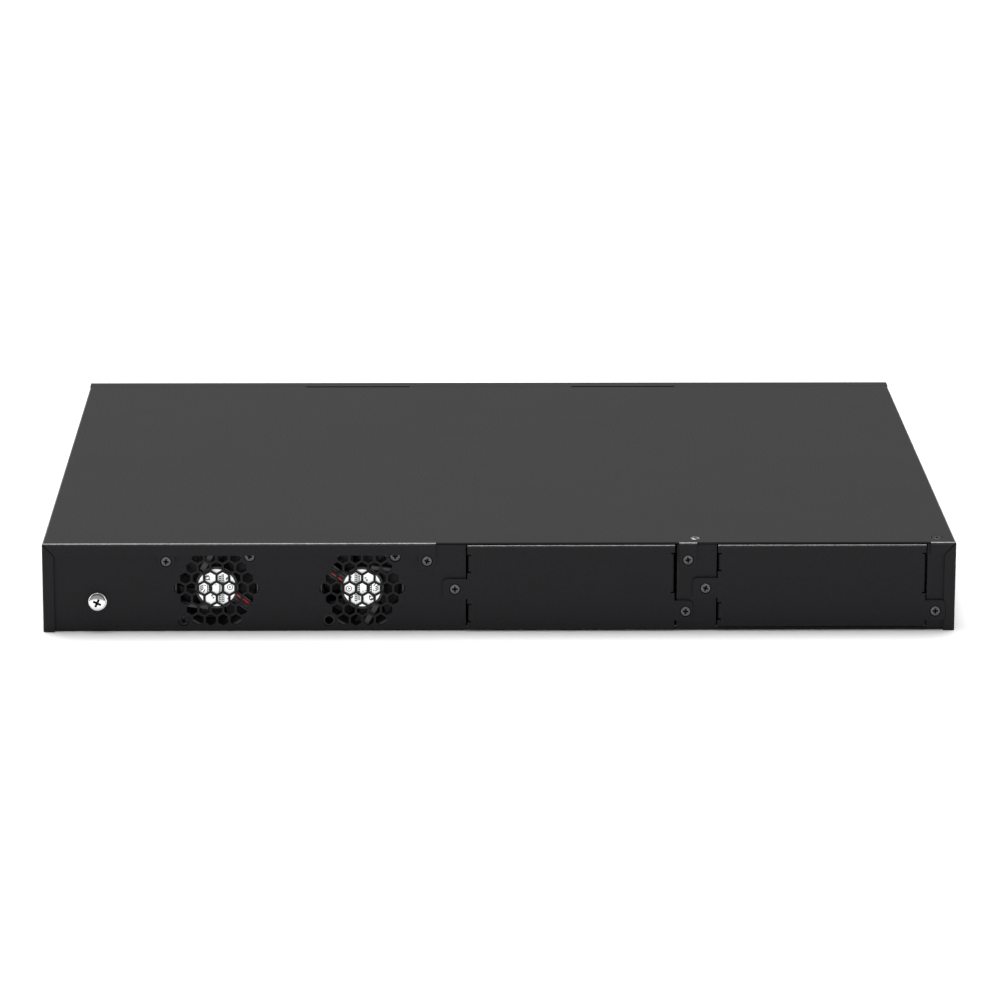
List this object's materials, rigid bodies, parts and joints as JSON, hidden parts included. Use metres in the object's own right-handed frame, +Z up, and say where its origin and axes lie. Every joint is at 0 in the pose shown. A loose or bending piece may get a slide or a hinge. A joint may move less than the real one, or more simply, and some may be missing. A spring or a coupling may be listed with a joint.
{
  "type": "network switch",
  "caption": "One-unit rackmount network switch in a black sheet-steel case, with rear fans, blanked power-supply bays and front network ports.",
  "frame": {"origin": "on the underside, at the middle of the sheet-metal case", "axes": "+Z up, -Y towards the front panel with the ports, +Y towards the rear panel with the fans, +X to the right as seen from the front"},
  "size_m": [0.44, 0.3525, 0.044],
  "materials": {
    "powder_coat": "fine matte black powder coat",
    "plated_steel": "zinc-plated sheet",
    "zinc": "bright zinc",
    "black_steel": "black oxide",
    "nickel": "nickel-plated shield",
    "aluminium": "extruded, plain",
    "windings": "enamelled copper wire on a steel core",
    "black_plastic": "moulded",
    "grey_plastic": "moulded",
    "white_plastic": "moulded",
    "clear_plastic": "clear moulded light pipe",
    "circuit_board": "solder mask",
    "chip_resin": "moulded resin",
    "label": "white film label",
    "wire": "coloured insulation"
  },
  "bodies": {
    "root": {"base_tray": "powder_coat", "bay_blank_1": "powder_coat", "bay_blank_2": "powder_coat", "bay_cage_1": "plated_steel", "bay_cage_2": "plated_steel", "bay_connector_1": "black_plastic", "bay_connector_2": "black_plastic", "blank_screw_1": "black_steel", "blank_screw_2": "black_steel", "blank_screw_3": "black_steel", "blank_screw_4": "black_steel", "board_link": "white_plastic", "board_support_1": "white_plastic", "board_support_2": "white_plastic", "board_support_3": "white_plastic", "board_support_4": "white_plastic", "console_jack": "nickel", "cover_screw_1": "black_steel", "cover_screw_2": "black_steel", "cover_screw_3": "black_steel", "cover_screw_4": "black_steel", "cover_screw_5": "black_steel", "cpu_chip": "chip_resin", "fan_1_frame": "black_plastic", "fan_1_header": "white_plastic", "fan_1_label": "label", "fan_1_lead": "wire", "fan_1_plug": "white_plastic", "fan_1_stator": "windings", "fan_2_frame": "black_plastic", "fan_2_header": "white_plastic", "fan_2_label": "label", "fan_2_lead": "wire", "fan_2_plug": "white_plastic", "fan_2_stator": "windings", "fan_screw_1": "black_steel", "fan_screw_2": "black_steel", "fan_screw_3": "black_steel", "ground_screw": "zinc", "ground_washer": "zinc", "main_board": "circuit_board", "mode_switch": "black_plastic", "phy_chip_1": "chip_resin", "phy_chip_2": "chip_resin", "phy_chip_3": "chip_resin", "phy_heatsink": "aluminium", "port_block_1": "nickel", "port_block_2": "nickel", "power_board": "circuit_board", "reset_switch": "black_plastic", "sfp_cage": "nickel", "status_lens": "clear_plastic", "switch_chip": "chip_resin", "switch_heatsink": "aluminium", "top_cover": "powder_coat"},
    "fan_1_rotor": {"fan_1_rotor": "black_plastic"},
    "fan_2_rotor": {"fan_2_rotor": "black_plastic"},
    "mode_button": {"mode_button": "grey_plastic"},
    "reset_button": {"reset_button": "grey_plastic"}
  },
  "joints": [
    {"name": "fan_1_spin", "type": "hinge", "parent": "root", "child": "fan_1_rotor", "pos_m": [0.1363, 0.1626, 0.0213], "axis": [0, 1, 0], "continuous": true},
    {"name": "fan_2_spin", "type": "hinge", "parent": "root", "child": "fan_2_rotor", "pos_m": [0.0663, 0.1626, 0.0213], "axis": [0, 1, 0], "continuous": true},
    {"name": "mode_press", "type": "slide", "parent": "root", "child": "mode_button", "axis": [0, 1, 0], "range_m": [0, 0.001], "stiffness_N_per_m": 600, "springref_m": -0.0005},
    {"name": "reset_press", "type": "slide", "parent": "root", "child": "reset_button", "axis": [0, 1, 0], "range_m": [0, 0.0006], "stiffness_N_per_m": 600, "springref_m": -0.0005}
  ]
}
